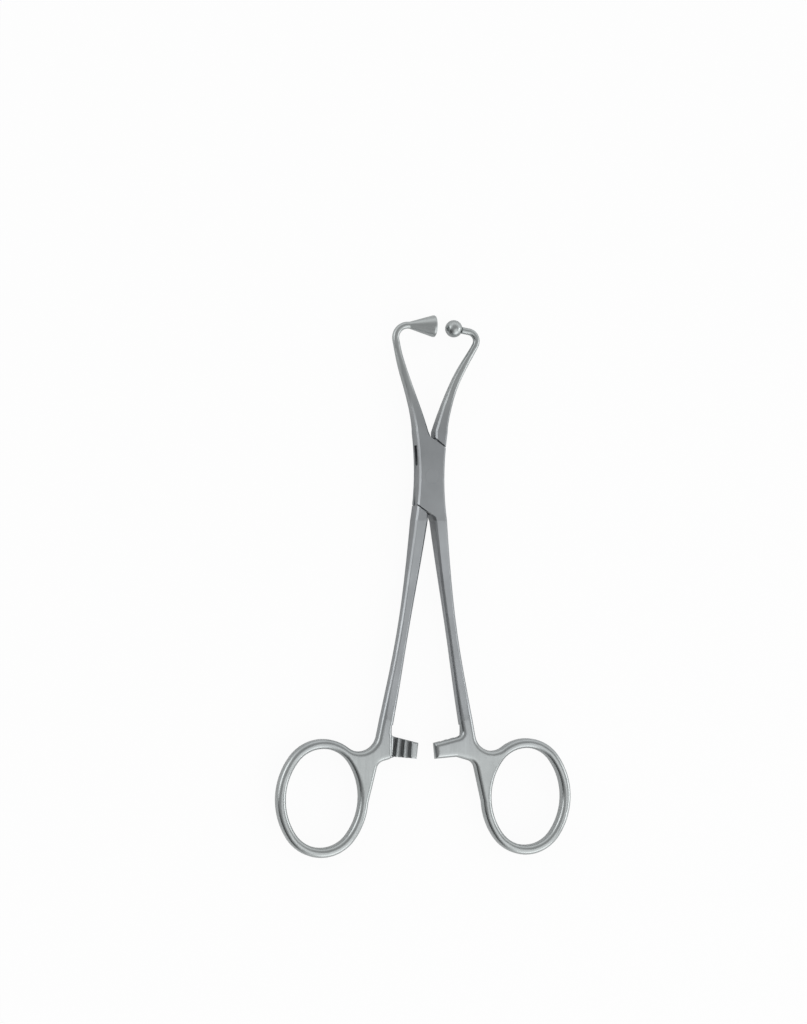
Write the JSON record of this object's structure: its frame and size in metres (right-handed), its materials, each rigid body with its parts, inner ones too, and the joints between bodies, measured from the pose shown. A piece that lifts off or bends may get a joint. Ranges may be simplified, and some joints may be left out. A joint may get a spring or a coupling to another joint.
{
  "type": "non-perforating towel clamp",
  "caption": "Ring-handled clamp with a box-lock hinge, ratchet arms and curved jaws that meet in a ball and a cupped cone.",
  "frame": {"origin": "on the pivot axis, in the plane of the box lock's back face", "axes": "+X to the right as the picture shows the clamp, +Y towards the jaws, +Z out of the box lock's front face"},
  "size_m": [0.0796, 0.14, 0.0058],
  "materials": {
    "satin_steel": "satin",
    "pin_steel": "satin, ground flush with the faces"
  },
  "bodies": {
    "box_side": {"box_half": "satin_steel", "pivot_pin": "pin_steel"},
    "tongue_side": {"tongue_half": "satin_steel"}
  },
  "joints": [
    {"name": "box_lock", "type": "hinge", "parent": "box_side", "child": "tongue_side", "pos_m": [0, 0, 0], "axis": [0, 0, -1], "range_deg": [-6.3, 45]}
  ]
}
